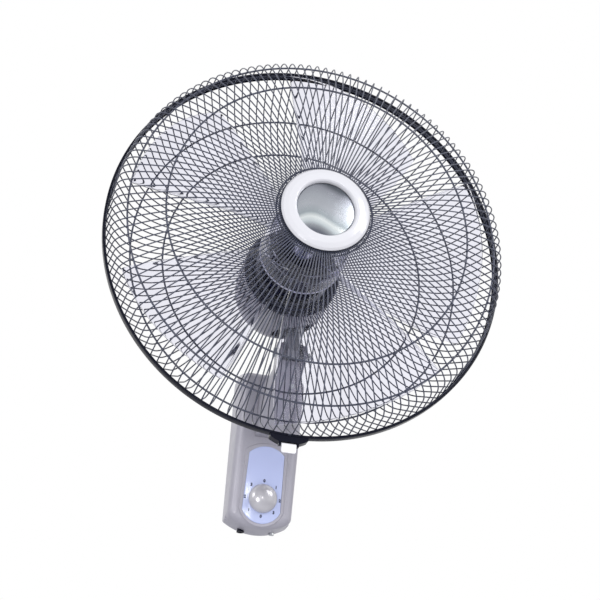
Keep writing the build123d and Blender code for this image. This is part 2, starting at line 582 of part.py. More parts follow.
def neck():
    """Arm from the base to the knuckle, hollow for the leads, with a screwed foot."""
    arm = Pos(-ARM_HALF, 0, 0) * extrude(arm_profile(0.0), 2 * ARM_HALF)
    arm = fillet(arm.edges().filter_by(is_lower_arm_edge), 7.0)
    arm += rod((-ARM_HALF, PAN_Y, TILT_Z), (ARM_HALF, PAN_Y, TILT_Z), EAR_R)
    arm -= rod((-EAR_IN, PAN_Y, TILT_Z), (EAR_IN, PAN_Y, TILT_Z), EAR_R + 2.6)
    arm -= block(-EAR_IN, EAR_IN, PAN_Y - 30, PAN_Y + 15.2, TILT_Z - 1, TILT_Z + 30)
    arm -= rod((-30, PAN_Y, TILT_Z), (30, PAN_Y, TILT_Z), BOLT_R + 0.2)
    arm -= block(-11.0, 11.0, -9.0, -66.0, 12.0, 50.0)
    arm -= block(-11.0, 11.0, -65.0, -108.0, 36.0, 50.0)
    for x, z in FOOT_SCREWS:
        arm -= rod((x, 0, z), (x, -16, z), 1.6)
    screws = []
    down = Vector(0, -sin(radians(58.9)), -cos(radians(58.9)))
    for x in (-7.4, 7.4):
        spot = Vector(x, -126.0, 50.0 - 11.0 * 44 / 73)
        arm -= rod(spot + down * 3, spot - down * 2.2, 3.1)
        arm -= rod(spot + down * 3, spot - down * 8.0, 1.3)
        screw = rod(spot - down * 0.3, spot - down * 2.15, 2.8) + rod(spot - down * 2, spot - down * 7.8, 1.28)
        screws.append(screw.solid())
    save("neck_arm", arm)
    save("neck_screws", Compound(children=screws))
    screws = []
    for x, z in FOOT_SCREWS:
        screw = rod((x, -2.6, z), (x, -4.0, z), 3.0) + rod((x, -3.9, z), (x, -14.0, z), 1.58)
        screws.append(screw.solid())
    save("foot_screws", Compound(children=screws))


def base():
    cover = housing(0.0, -SHELL_DEPTH) - housing(WALL, -SHELL_DEPTH + 1)
    rim = extrude(panel_face(4.0), 1.4)
    rim = chamfer(rim.faces().sort_by(Axis.Z)[-1].edges(), 1.0)
    cover += PANEL_PLANE * rim
    cover -= PANEL_PLANE * Pos(0, 0, 0.2) * extrude(panel_face(0.15), 6.0)
    cover -= PANEL_PLANE * Cylinder(4.6, 30.0)
    window = Pos(-ARM_HALF - 0.2, 0, 0) * extrude(arm_profile(0.2), 2 * ARM_HALF + 0.4)
    cover -= window
    bosses = []
    for x in (-28.0, 28.0):
        for z in (84.0, -72.0):
            post = rod((x, -SHELL_DEPTH, z), (x, -70.0, z), 4.0) & housing(0.8, -SHELL_DEPTH)
            post -= rod((x, -SHELL_DEPTH + 1, z), (x, -SHELL_DEPTH - 12, z), 1.7)
            bosses.append(post.solid())
    cover = cover + bosses
    save("base_front_cover", cover)

    tray = extrude(base_outline(0.0, SHELL_CORNER, SHELL_TOP_CORNER), SHELL_DEPTH - 0.05)
    tray -= Pos(0, -5.0, 0) * extrude(base_outline(WALL, SHELL_CORNER, SHELL_TOP_CORNER), SHELL_DEPTH)
    tray -= block(-30, 30, 1, -2.2, -78, 81.0)
    tray -= block(11.5, 24.5, 1, -2.2, -81, -70)
    tray -= block(11.5, 24.5, 1, -8.0, -80.3, -78.1)
    corners = [(x, z) for x in (-28.0, 28.0) for z in (84.0, -72.0)]
    for x, z in corners:
        tray += rod((x, -4.0, z), (x, -SHELL_DEPTH + 0.05, z), 4.0)
        tray -= rod((x, 1, z), (x, -SHELL_DEPTH - 1, z), 1.9)
        tray -= rod((x, 1, z), (x, -3.2, z), 3.6)
    for z in HOOKS:
        tray -= block(-16, 16, 1, -8, z - 5.6, z + 0.45)
    for x, z in FOOT_SCREWS:
        tray -= rod((x, 1, z), (x, -8, z), 1.7)
        tray -= rod((x, 1, z), (x, -4.02, z), 3.2)
    tray -= rod((GLAND_X, -8.0, -80), (GLAND_X, -8.0, -110), 4.0)
    tray -= rod((LOCK_X, -9.5, -80), (LOCK_X, -9.5, -110), 1.7)
    tray -= rod((LOCK_X, -9.5, -96.0), (LOCK_X, -9.5, -110), 3.4)
    save("base_rear_shell", tray)
    screws = []
    for x, z in corners:
        screw = rod((x, -1.2, z), (x, -3.1, z), 3.3) + rod((x, -3.0, z), (x, -26.0, z), 1.6)
        screws.append(screw.solid())
    save("base_screws", Compound(children=screws))

    plate = block(-29, 29, 0, -1.6, -66, 80)
    plate = fillet(plate.edges().filter_by(Axis.Y), 5.0)
    plate += block(12, 24, 0, -1.6, -80, -64)
    plate += block(12, 24, 0, -14.0, -80, -78.4)
    plate -= block(-18, 18, 1, -3, -36, 62)
    for x in (-BRACKET_X, BRACKET_X):
        for z in (-BRACKET_Z, BRACKET_Z):
            plate -= rod((x, 1, z), (x, -4, z), 2.6)
    for z in HOOKS:
        plate += block(-14, 14, -1.0, -7.4, z - 1.2, z + 0.4)
        plate += block(-14, 14, -5.9, -7.4, z - 1.2, z + 4.4)
    plate -= rod((LOCK_X, -9.5, -70), (LOCK_X, -9.5, -90), 1.6)
    save("wall_bracket", plate)
    lock = rod((LOCK_X, -9.5, -74.0), (LOCK_X, -9.5, -97.0), 1.58)
    lock += rod((LOCK_X, -9.5, -96.05), (LOCK_X, -9.5, -98.6), 3.1)
    save("lock_screw", lock)

    panel = extrude(panel_face(0.0), 2.0)
    panel = chamfer(panel.faces().sort_by(Axis.Z)[-1].edges(), 0.5) - Cylinder(4.6, 20)
    save("control_panel", PANEL_PLANE * Pos(0, 0, 0.25) * panel)
    gland = rod((GLAND_X, -8.0, -90.0), (GLAND_X, -8.0, -98.4), 3.95)
    gland += rod((GLAND_X, -8.0, -98.2), (GLAND_X, -8.0, -99.4), 4.4)
    gland -= rod((GLAND_X, -8.0, -80.0), (GLAND_X, -8.0, -110.0), 2.8)
    save("inlet_gland", gland)


def electrics():
    switch = PANEL_PLANE * Pos(0, 0, -2.6 - 9.0) * Box(25, 25, 17.6)
    switch += PANEL_PLANE * Pos(0, 0, -1.2) * Cylinder(4.4, 13.2)
    switch -= PANEL_PLANE * Cylinder(3.05, 60)
    save("speed_switch", switch)
    nut = PANEL_PLANE * Pos(0, 0, 2.35) * extrude(RegularPolygon(6.6, 6) - Circle(4.4), 2.4)
    save("switch_nut", nut)
    save("switch_shaft", PANEL_PLANE * Pos(0, 0, -14.0) * extrude(Circle(3.0), 24.0))

    knob = extrude(Circle(KNOB_R), 10.4)
    knob = fillet(knob.edges().sort_by(Axis.Z)[-1], 8.2)
    knob -= Pos(0, KNOB_R - 4.4, 9.2) * Cylinder(1.0, 4.0)
    knob -= extrude(Circle(9.0), 4.6)
    knob -= extrude(Circle(3.0), 7.6)
    save("speed_knob", PANEL_PLANE * Pos(0, 0, 2.7) * knob)

    save("capacitor", fillet(block(-19, 19, -5.02, -21.0, -34.0, -14.5).edges(), 1.5))
    terminals = block(19.5, 33.0, -5.02, -16.0, -6.0, 28.0)
    for i in range(3):
        terminals -= rod((26.2, -12, 1 + 10 * i), (26.2, -20, 1 + 10 * i), 2.4)
    save("terminal_block", terminals)


guards()
clip_parts()
badge()
fan()
motor()
gearbox()
head_cover()
tilt_joint()
neck()
base()
electrics()
for name, shape in sorted(made.items()):
    print(f"{name:22s} {shape.volume / 1000:9.3f} cm3  valid {shape.is_valid}")
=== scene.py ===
import logging
import math
from dataclasses import dataclass, field
from enum import Enum
from typing import Dict, List, Optional, Sequence, Tuple

import bmesh
import bpy
import numpy as np
from mathutils import Matrix


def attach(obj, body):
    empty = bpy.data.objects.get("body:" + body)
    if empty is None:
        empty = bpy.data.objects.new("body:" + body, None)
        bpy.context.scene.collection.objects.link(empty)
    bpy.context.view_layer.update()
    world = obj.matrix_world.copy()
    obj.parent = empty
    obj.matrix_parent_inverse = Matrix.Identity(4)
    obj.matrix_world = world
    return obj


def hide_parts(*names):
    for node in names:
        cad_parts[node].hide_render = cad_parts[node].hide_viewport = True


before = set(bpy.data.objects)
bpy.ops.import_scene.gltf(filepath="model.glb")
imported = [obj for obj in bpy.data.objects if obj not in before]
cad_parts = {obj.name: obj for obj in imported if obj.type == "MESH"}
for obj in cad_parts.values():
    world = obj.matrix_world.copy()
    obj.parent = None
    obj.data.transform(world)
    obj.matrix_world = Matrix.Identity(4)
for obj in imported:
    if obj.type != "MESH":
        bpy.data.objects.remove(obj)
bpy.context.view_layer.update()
log = logging.getLogger("wall_fan")

Array = np.ndarray
Material = bpy.types.Material
Object = bpy.types.Object
Socket = bpy.types.NodeSocket
Colour = Tuple[float, float, float]
Spot = Tuple[float, float, float]
Line = Sequence[Tuple[float, float]]

MM = 0.001
HEAD_X, HEAD_Z, BAND_Y = -16.5, 150.0, -262.0
MERGE_DISTANCE = 2e-7
SLIVER_LENGTH = 1e-7
STRAIGHT_TURN = 1e-4
NOISE_LOW, NOISE_HIGH = 0.3, 0.7


class Body(Enum):
    """The bodies that carry new pieces, by the names the frame gives them."""

    BASE = "wall_base"
    HEAD = "head"
    ROTOR = "rotor"
    DIAL = "speed_dial"


# ------------------------------------------------------------------ surfaces
def grid_faces(rows: int, cols: int, wrap_rows: bool, wrap_cols: bool) -> Array:
    """Quads of a rows x cols grid of points.

    Args:
        rows: Points along the first parameter.
        cols: Points along the second parameter.
        wrap_rows: Join the last row to the first.
        wrap_cols: Join the last column to the first.

    Returns:
        An array of four point numbers for each quad.
    """
    i = np.arange(rows if wrap_rows else rows - 1)[:, None]
    j = np.arange(cols if wrap_cols else cols - 1)[None, :]
    ni, nj = (i + 1) % rows, (j + 1) % cols
    quads = np.stack([i * cols + j, ni * cols + j, ni * cols + nj, i * cols + nj], axis=-1)
    return quads.reshape(-1, 4)


def rounded(corners: Line, radii: Sequence[float], steps: int = 6) -> Array:
    """A polyline with its inner corners turned into arcs.

    A corner's arc of radius R starts R * tan(turn / 2) before the corner and ends as far after it,
    and its points are centre + R * (cos, sin) at even angles between the two.

    Args:
        corners: Points of the polyline in millimetres.
        radii: One radius for each inner corner; 0 keeps it sharp.
        steps: Points along each arc, less one.

    Returns:
        The points of the rounded line, one row each.
    """
    p = np.asarray(corners, float)
    out: List[Array] = [p[:1]]
    for k, radius in enumerate(radii, start=1):
        a = (p[k] - p[k - 1]) / np.linalg.norm(p[k] - p[k - 1])
        b = (p[k + 1] - p[k]) / np.linalg.norm(p[k + 1] - p[k])
        turn = math.acos(float(np.clip(a @ b, -1.0, 1.0)))
        if radius <= 0 or turn < STRAIGHT_TURN:
            out.append(p[k][None])
            continue
        side = math.copysign(1.0, float(a[0] * b[1] - a[1] * b[0]))
        start = p[k] - a * radius * math.tan(turn / 2)
        inward = np.array([-a[1], a[0]]) * side
        angle = np.linspace(0.0, turn, steps + 1)[:, None]
        out.append(start + inward * radius * (1 - np.cos(angle)) + a * radius * np.sin(angle))
    out.append(p[-1:])
    return np.concatenate(out)


def closed_loop(corners: Line, radius: float, steps: int = 4) -> Array:
    """A closed polygon with every corner rounded, without a repeated last point.

    Args:
        corners: The polygon's corners in millimetres.
        radius: Radius of every corner.
        steps: Points along each arc, less one.

    Returns:
        The points of the loop, which starts halfway between the last corner and the first.
    """
    pts = list(corners)
    middle = ((pts[0][0] + pts[-1][0]) / 2, (pts[0][1] + pts[-1][1]) / 2)
    line = rounded([middle, *pts, middle], [radius] * len(pts), steps)
    return line[:-1]


def about_fan_axis(radius: Array, depth: Array, angle: Array, sideways: Optional[Array] = None) -> Array:
    """Points from cylinder measures about the fan axis.

    X = head X + r cos(a) - t sin(a), Y = band Y - depth, Z = head Z + r sin(a) + t cos(a).

    Args:
        radius: Distance r from the axis, mm.
        depth: Distance ahead of the band's plane, mm.
        angle: Angle a about the axis, 0 at +X.
        sideways: Distance t square to the radius, mm.

    Returns:
        An array of points in metres, with a last axis of 3.
    """
    t = np.zeros_like(radius) if sideways is None else sideways
    radius, depth, angle, t = np.broadcast_arrays(radius, depth, angle, t)
    x = HEAD_X + radius * np.cos(angle) - t * np.sin(angle)
    z = HEAD_Z + radius * np.sin(angle) + t * np.cos(angle)
    return np.stack([x, BAND_Y - depth, z], axis=-1) * MM


def add_to_scene(name: str, data: bpy.types.ID) -> Object:
    """Makes an object of some data, at the origin, and links it into the scene.

    Args:
        name: The object's name.
        data: Its mesh, curve, lamp or camera.

    Returns:
        The object.
    """
    made = bpy.data.objects.new(name, data)
    bpy.context.scene.collection.objects.link(made)
    return made


@dataclass
class MeshBuilder:
    """Collects surfaces and turns them into one object."""

    name: str
    points: List[Array] = field(default_factory=list)
    faces: List[List[Tuple[int, ...]]] = field(default_factory=list)
    count: int = 0

    def grid(self, points: Array, wrap_rows: bool = False, wrap_cols: bool = False,
             cap_rows: bool = False, cap_cols: bool = False) -> "MeshBuilder":
        """Adds a surface given on a grid.

        Args:
            points: Rows x columns x 3, in metres.
            wrap_rows: Join the last row to the first.
            wrap_cols: Join the last column to the first.
            cap_rows: Close the first and last row with a face each.
            cap_cols: Close the first and last column with a face each.

        Returns:
            The builder, so that calls can follow each other.
        """
        rows, cols = points.shape[:2]
        base = self.count
        self.points.append(points.reshape(-1, 3))
        self.count += rows * cols
        self.faces.append((grid_faces(rows, cols, wrap_rows, wrap_cols) + base).tolist())
        order = np.arange(rows * cols).reshape(rows, cols) + base
        if cap_rows:
            self.faces.append([order[0].tolist(), order[-1][::-1].tolist()])
        if cap_cols:
            self.faces.append([order[:, 0].tolist(), order[:, -1][::-1].tolist()])
        return self

    def lathe(self, profile: Array, segments: int, closed: bool,
              start: float = 0.0, sweep: float = math.tau) -> "MeshBuilder":
        """Adds a profile of (radius, depth) turned about the fan axis.

        Point(i, j) = (r_i cos a_j, r_i sin a_j) at depth d_i.

        Args:
            profile: Radius and depth of each point, mm.
            segments: Copies of the profile round the axis.
            closed: The profile is a loop; else it starts and ends on the axis.
            start: Angle of the first copy.
            sweep: Angle from the first copy to the last.

        Returns:
            The builder.
        """
        full = sweep > math.tau - 1e-6
        angle = start + np.linspace(0.0, sweep, segments, endpoint=not full)
        points = about_fan_axis(profile[:, :1], profile[:, 1:], angle[None, :])
        return self.grid(points, wrap_rows=closed, wrap_cols=full, cap_cols=closed and not full)

    def build(self, material: Material, sharp: float = 35.0) -> Object:
        """Makes the object, merges poles and seams, and turns every face outwards.

        Args:
            material: Finish of the whole piece.
            sharp: Edges that turn more than this many degrees stay crisp.

        Returns:
            The new object, at the origin.
        """
        mesh = bpy.data.meshes.new(self.name)
        faces = [face for group in self.faces for face in group]
        mesh.from_pydata(np.concatenate(self.points).tolist(), [], faces)
        work = bmesh.new()
        work.from_mesh(mesh)
        bmesh.ops.remove_doubles(work, verts=work.verts, dist=MERGE_DISTANCE)
        bmesh.ops.dissolve_degenerate(work, edges=work.edges, dist=SLIVER_LENGTH)
        bmesh.ops.recalc_face_normals(work, faces=work.faces)
        work.to_mesh(mesh)
        work.free()
        mesh.shade_smooth()
        mesh.set_sharp_from_angle(angle=math.radians(sharp))
        mesh.materials.append(material)
        return add_to_scene(self.name, mesh)


def place(piece: Object, body: Body, slot: str, *nodes: str) -> Object:
    """Rides a piece on its body, hides the nodes it stands for, and logs it.

    Args:
        piece: The finished piece.
        body: The body that carries it.
        slot: The record's material slot that its finish belongs to; not used.
        nodes: CAD nodes that it takes the place of.

    Returns:
        The piece.
    """
    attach(piece, body.value)
    if nodes:
        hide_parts(*nodes)
    log.info("%s on %s, for %s", piece.name, body.value, ", ".join(nodes) or "nothing else")
    return piece


# ------------------------------------------------------------------ finishes
class Graph:
    """A material's node tree, with the few calls that the finishes share."""

    def __init__(self, name: str) -> None:
        """Starts a tree with one shader.

        Args:
            name: The material's name.
        """
        self.material = bpy.data.materials.new(name)
        self.material.use_nodes = True
        self.tree = self.material.node_tree
        self.tree.nodes.clear()
        self.shader = self.tree.nodes.new("ShaderNodeBsdfPrincipled")
        output = self.tree.nodes.new("ShaderNodeOutputMaterial")
        self.link(self.shader.outputs["BSDF"], output.inputs["Surface"])
        self.coordinates = self.tree.nodes.new("ShaderNodeTexCoord").outputs["Object"]

    def link(self, source: Socket, target: Socket) -> None:
        """Joins two sockets."""
        self.tree.links.new(source, target)

    def node(self, kind: str, **values: object) -> bpy.types.Node:
        """Adds a node.

        Args:
            kind: Blender's name of the node type.
            values: Plain properties and what they are set to.

        Returns:
            The node.
        """
        made = self.tree.nodes.new(kind)
        for key, value in values.items():
            setattr(made, key, value)
        return made

    def mapped(self, scale: Spot, location: Spot = (0, 0, 0)) -> Socket:
        """Object coordinates through a Mapping node.

        Args:
            scale: Factor along each axis.
            location: Shift along each axis, after the scale.

        Returns:
            The mapped coordinates.
        """
        mapping = self.node("ShaderNodeMapping")
        mapping.inputs["Scale"].default_value = scale
        mapping.inputs["Location"].default_value = location
        self.link(self.coordinates, mapping.inputs["Vector"])
        return mapping.outputs["Vector"]

    def noise(self, scale: float, detail: float = 3.0, vector: Optional[Socket] = None) -> Socket:
        """Fractal noise about 0.5.

        Args:
            scale: Features per metre.
            detail: Octaves.
            vector: Coordinates to use in place of the object's own.

        Returns:
            The noise.
        """
        made = self.node("ShaderNodeTexNoise")
        made.inputs["Scale"].default_value = scale
        made.inputs["Detail"].default_value = detail
        self.link(vector or self.coordinates, made.inputs["Vector"])
        return made.outputs["Fac"]

    def ramp(self, source: Socket, stops: Sequence[Tuple[float, Colour]]) -> Socket:
        """A colour ramp.

        Args:
            source: Value that picks the colour.
            stops: Two or more values with their colours, in rising order.

        Returns:
            The colour.
        """
        made = self.node("ShaderNodeValToRGB")
        elements = made.color_ramp.elements
        for element, (position, colour) in zip(elements, (stops[0], stops[-1])):
            element.position, element.color = position, (*colour, 1.0)
        for position, colour in stops[1:-1]:
            elements.new(position).color = (*colour, 1.0)
        self.link(source, made.inputs["Fac"])
        return made.outputs["Color"]

    def paint(self, colour: Socket) -> None:
        """Colours the shader."""
        self.link(colour, self.shader.inputs["Base Color"])

    def mottle(self, source: Socket, colour: Colour, dark: float, light: float,
               low: float = NOISE_LOW, high: float = NOISE_HIGH) -> None:
        """Colours the shader with a darker and a lighter tone of one colour.

        Args:
            source: Noise that picks the tone.
            colour: The middle tone.
            dark: Factor on the colour where the noise is low.
            light: Factor on the colour where the noise is high.
            low: Noise value of the darkest tone.
            high: Noise value of the lightest tone.
        """
        self.paint(self.ramp(source, ((low, tint(colour, dark)), (high, tint(colour, light)))))

    def shine(self, scale: float, detail: float, low: float, high: float) -> None:
        """Lets the roughness wander.

        Args:
            scale: Features per metre.
            detail: Octaves.
            low: Roughness where the noise is low.
            high: Roughness where the noise is high.
        """
        spread = self.node("ShaderNodeMapRange")
        limits = {"From Min": NOISE_LOW, "From Max": NOISE_HIGH, "To Min": low, "To Max": high}
        for key, value in limits.items():
            spread.inputs[key].default_value = value
        self.link(self.noise(scale, detail), spread.inputs["Value"])
        self.link(spread.outputs["Result"], self.shader.inputs["Roughness"])

    def math(self, operation: str, *values: object) -> Socket:
        """One Math node.

        Args:
            operation: What it does.
            values: A socket or a number for each input.

        Returns:
            The result.
        """
        made = self.node("ShaderNodeMath", operation=operation)
        for socket, value in zip(made.inputs, values):
            if isinstance(value, (int, float)):
                socket.default_value = value
            else:
                self.link(value, socket)
        return made.outputs["Value"]

    def bump(self, source: Socket, distance: float) -> None:
        """Adds a bump to the shader's normal.

        Args:
            source: Height, from 0 to 1.
            distance: What a height of 1 stands for, in metres.
        """
        made = self.node("ShaderNodeBump")
        made.inputs["Strength"].default_value = 1.0
        made.inputs["Distance"].default_value = distance
        self.link(source, made.inputs["Height"])
        self.link(made.outputs["Normal"], self.shader.inputs["Normal"])

    def set(self, **values: object) -> None:
        """Sets shader sockets by name, with _ for a blank."""
        for key, value in values.items():
            self.shader.inputs[key.replace("_", " ")].default_value = value


def tint(colour: Colour, factor: float) -> Colour:
    """A colour made lighter or darker."""
    return tuple(min(1.0, c * factor) for c in colour)


@dataclass(frozen=True)
class Moulded:
    """Moulded plastic: faint flow mottling, uneven gloss and a fine skin texture."""

    name: str
    colour: Colour
    roughness: float = 0.35
    coat: float = 0.0
    depth: float = 6e-6
    mottle: float = 0.05
    specular: float = 0.5
    flow_scale: float = 14.0
    gloss_scale: float = 90.0
    skin_scale: float = 1800.0
    coat_roughness: float = 0.08

    def material(self) -> Material:
        """Builds the node tree.

        Returns:
            The material.
        """
        g = Graph(self.name)
        g.mottle(g.noise(self.flow_scale, 4.0), self.colour, 1 - self.mottle, 1 + self.mottle)
        g.shine(self.gloss_scale, 4.0, self.roughness * 0.82, self.roughness * 1.18)
        g.bump(g.noise(self.skin_scale, 2.0), self.depth)
        g.set(Coat_Weight=self.coat, Coat_Roughness=self.coat_roughness, Specular_IOR_Level=self.specular)
        return g.material


@dataclass(frozen=True)
class Pearl:
    """Silver paint under clear lacquer: fine flakes that glint among a lilac grey."""

    name: str
    colour: Colour
    flake: Colour
    metallic: float
    roughness: float
    coat: float
    flake_scale: float = 2600.0
    cloud_scale: float = 11.0
    gloss_scale: float = 70.0
    skin_scale: float = 1500.0
    skin_depth: float = 4e-6
    coat_roughness: float = 0.06

    def material(self) -> Material:
        """Builds the node tree.

        Returns:
            The material.
        """
        g = Graph(self.name)
        flakes = g.node("ShaderNodeTexVoronoi")
        flakes.inputs["Scale"].default_value = self.flake_scale
        g.link(g.coordinates, flakes.inputs["Vector"])
        sparkle = g.ramp(flakes.outputs["Distance"], ((0.05, self.flake), (0.6, self.colour)))
        greys = ((NOISE_LOW, (0.93, 0.93, 0.94)), (NOISE_HIGH, (1.0, 1.0, 1.0)))
        cloud = g.ramp(g.noise(self.cloud_scale), greys)
        mix = g.node("ShaderNodeMix", data_type="RGBA", blend_type="MULTIPLY")
        mix.inputs["Factor"].default_value = 1.0
        colour_a, colour_b, blended = mix.inputs[6], mix.inputs[7], mix.outputs[2]
        g.link(sparkle, colour_a)
        g.link(cloud, colour_b)
        g.paint(blended)
        g.shine(self.gloss_scale, 3.0, self.roughness * 0.85, self.roughness * 1.15)
        g.bump(g.noise(self.skin_scale, 2.0), self.skin_depth)
        g.set(Metallic=self.metallic, Coat_Weight=self.coat, Coat_Roughness=self.coat_roughness)
        return g.material


@dataclass(frozen=True)
class PowderCoat:
    """Baked powder on wire: a small orange-peel bump and slightly uneven shine."""

    name: str
    colour: Colour
    roughness: float
    specular: float
    peel_scale: float = 900.0
    peel_depth: float = 1.2e-5

    def material(self) -> Material:
        """Builds the node tree.

        Returns:
            The material.
        """
        g = Graph(self.name)
        g.mottle(g.noise(60.0), self.colour, 0.85, 1.18)
        g.shine(400.0, 2.0, self.roughness * 0.8, self.roughness * 1.2)
        g.bump(g.noise(self.peel_scale, 1.0), self.peel_depth)
        g.set(Specular_IOR_Level=self.specular)
        return g.material


@dataclass(frozen=True)
class Metal:
    """Bare metal with drawn or turned streaks along one axis, and dull patches."""

    name: str
    colour: Colour
    roughness: float = 0.3
    stretch: Spot = (1.0, 12.0, 1.0)
    streaks: float = 220.0
    depth: float = 4e-6

    def material(self) -> Material:
        """Builds the node tree.

        Returns:
            The material.
        """
        g = Graph(self.name)
        lines = g.noise(self.streaks, 3.0, g.mapped(self.stretch))
        g.mottle(lines, self.colour, 0.86, 1.1, 0.25, 0.75)
        g.shine(45.0, 4.0, self.roughness * 0.75, self.roughness * 1.3)
        g.bump(lines, self.depth)
        g.set(Metallic=1.0)
        return g.material


@dataclass(frozen=True)
class Banded:
    """Even bands along Y, as on stacked sheets or wound wire."""

    name: str
    colour: Colour
    gap: Colour
    pitch: float
    metallic: float = 0.9
    waves_per_scale: float = 0.314
    relief: float = 0.2

    def material(self) -> Material:
        """Builds the node tree: a sine wave of the given pitch colours and lifts the bands.

        Returns:
            The material.
        """
        g = Graph(self.name)
        wave = g.node("ShaderNodeTexWave", wave_type="BANDS", bands_direction="Y")
        wave.inputs["Scale"].default_value = self.waves_per_scale / self.pitch
        wave.inputs["Distortion"].default_value = 0.6
        g.link(g.coordinates, wave.inputs["Vector"])
        g.paint(g.ramp(wave.outputs["Fac"], ((0.15, self.gap), (0.6, self.colour))))
        g.shine(120.0, 3.0, 0.3, 0.5)
        g.bump(wave.outputs["Fac"], self.pitch * self.relief)
        g.set(Metallic=self.metallic)
        return g.material


@dataclass(frozen=True)
class ClearPlastic:
    """Clear moulded plastic with a smoky tint and slight waviness."""

    name: str
    colour: Colour
    roughness: float = 0.04
    ior: float = 1.16
    wave_scale: float = 25.0
    wave_depth: float = 3e-5

    def material(self) -> Material:
        """Builds the node tree.

        Returns:
            The material.
        """
        g = Graph(self.name)
        g.mottle(g.noise(9.0, 2.0), self.colour, 0.96, 1.03)
        g.shine(60.0, 2.0, self.roughness * 0.5, self.roughness * 1.6)
        g.bump(g.noise(self.wave_scale, 1.0), self.wave_depth)
        g.set(Transmission_Weight=1.0, IOR=self.ior)
        return g.material


@dataclass(frozen=True)
class PaintedSheenDisc:
    """Polished disc with painted light: a painted reflection of a bright room in soft grey bands, and painted
    shade at its top and bottom edges.
    """

    name: str
    centre: Tuple[float, float]
    radius: float
    swing: float = 0.18
    swing_rate: float = 2.6
    bow: float = 0.22
    # Stops: dark painted shade at both ends, and a bright painted reflection band low on the disc.
    stops: Sequence[Tuple[float, Colour]] = (
        (0.02, (0.13, 0.14, 0.17)), (0.10, (0.28, 0.30, 0.33)), (0.17, (0.52, 0.57, 0.60)),
        (0.25, (0.68, 0.72, 0.73)), (0.34, (0.33, 0.37, 0.40)), (0.50, (0.39, 0.41, 0.45)),
        (0.68, (0.35, 0.37, 0.41)), (0.86, (0.26, 0.27, 0.31)), (0.97, (0.10, 0.11, 0.13)))

    def material(self) -> Material:
        """Builds the tree: v = z + swing sin(rate x) + bow x^2, in disc radii, drives a ramp of greys that
        paints the reflection and the edge shade.

        Returns:
            The material.
        """
        g = Graph(self.name)
        k = 1.0 / (self.radius * MM)
        unit = g.mapped((k, k, k), (-self.centre[0] * MM * k, 0.0, -self.centre[1] * MM * k))
        axes = g.node("ShaderNodeSeparateXYZ")
        g.link(unit, axes.inputs["Vector"])
        x = axes.outputs["X"]
        sine = g.math("SINE", g.math("MULTIPLY", x, self.swing_rate))
        bow = g.math("MULTIPLY", g.math("MULTIPLY", x, x), self.bow)
        bent = g.math("ADD", bow, g.math("MULTIPLY", sine, self.swing))
        total = g.math("ADD", axes.outputs["Z"], bent)
        share = g.math("MULTIPLY", g.math("ADD", total, 1.0), 0.5)
        g.paint(g.ramp(share, self.stops))
        g.shine(60.0, 3.0, 0.2, 0.3)
        g.set(Metallic=1.0)
        return g.material


@dataclass(frozen=True)
class FinishRack:
    """Every finish on the fan, made once."""

    shell: Material
    panel: Material
    knob: Material
    ink: Material
    black: Material
    nut_black: Material
    grey: Material
    white: Material
    clip_white: Material
    badge: Material
    wire: Material
    smoke: Material
    hub: Material
    bead: Material
    zinc: Material
    cast: Material
    sheet: Material
    laminations: Material
    copper: Material
    bronze: Material
    can: Material
    plate: Material

    @staticmethod
    def make() -> "FinishRack":
        """Builds all the materials.

        Returns:
            The rack.
        """
        return FinishRack(
            shell=Pearl("silver_shell", (0.355, 0.345, 0.395), (0.5, 0.49, 0.54), 0.2, 0.42, 0.12).material(),
            panel=Moulded("panel_blue", (0.47, 0.53, 0.80), 0.2, 0.8, depth=1e-6, mottle=0.02).material(),
            knob=Pearl("knob_pearl", (0.47, 0.46, 0.49), (0.62, 0.61, 0.64), 0.25, 0.22, 0.7).material(),
            ink=Moulded("printed_ink", (0.012, 0.014, 0.05), 0.5, depth=1e-6).material(),
            black=Moulded("band_black", (0.0055, 0.0065, 0.014), 0.26, depth=2e-6, specular=0.1).material(),
            nut_black=Moulded("nut_black", (0.005, 0.006, 0.02), 0.12, depth=1e-6, specular=0.22).material(),
            grey=Moulded("moulded_grey", (0.20, 0.20, 0.22), 0.5).material(),
            white=Moulded("gloss_white", (0.63, 0.63, 0.66), 0.14, 0.3, depth=1e-6, mottle=0.01).material(),
            clip_white=Moulded("clip_white", (0.84, 0.84, 0.86), 0.25, mottle=0.02).material(),
            # The badge disc's colour holds a painted reflection and painted edge shade.
            badge=PaintedSheenDisc("badge_silver", (HEAD_X, HEAD_Z), 30.3).material(),
            wire=PowderCoat("wire_slate", (0.046, 0.052, 0.082), 0.34, 0.55).material(),
            smoke=ClearPlastic("smoke_clear", (0.86, 0.86, 0.935)).material(),
            hub=ClearPlastic("smoke_hub", (0.74, 0.74, 0.88), 0.05, 1.46).material(),
            bead=Moulded("hub_bead", (0.60, 0.60, 0.74), 0.12, 0.6, depth=1e-6).material(),
            zinc=Metal("zinc_plate", (0.58, 0.60, 0.62), 0.3).material(),
            cast=Metal("die_cast", (0.52, 0.53, 0.56), 0.48, (1, 1, 1), 320.0, 1.5e-5).material(),
            sheet=Metal("sheet_steel", (0.42, 0.43, 0.46), 0.35, (9, 1, 1)).material(),
            laminations=Banded("laminations", (0.36, 0.37, 0.40), (0.05, 0.05, 0.06), 0.0007).material(),
            copper=Banded("enamelled_copper", (0.62, 0.24, 0.10), (0.18, 0.05, 0.02), 0.0006).material(),
            bronze=Metal("bearing_bronze", (0.60, 0.42, 0.22), 0.36).material(),
            can=Moulded("capacitor_case", (0.06, 0.09, 0.16), 0.4).material(),
            plate=Moulded("plate_slate", (0.035, 0.04, 0.055), 0.35, depth=4e-6).material())


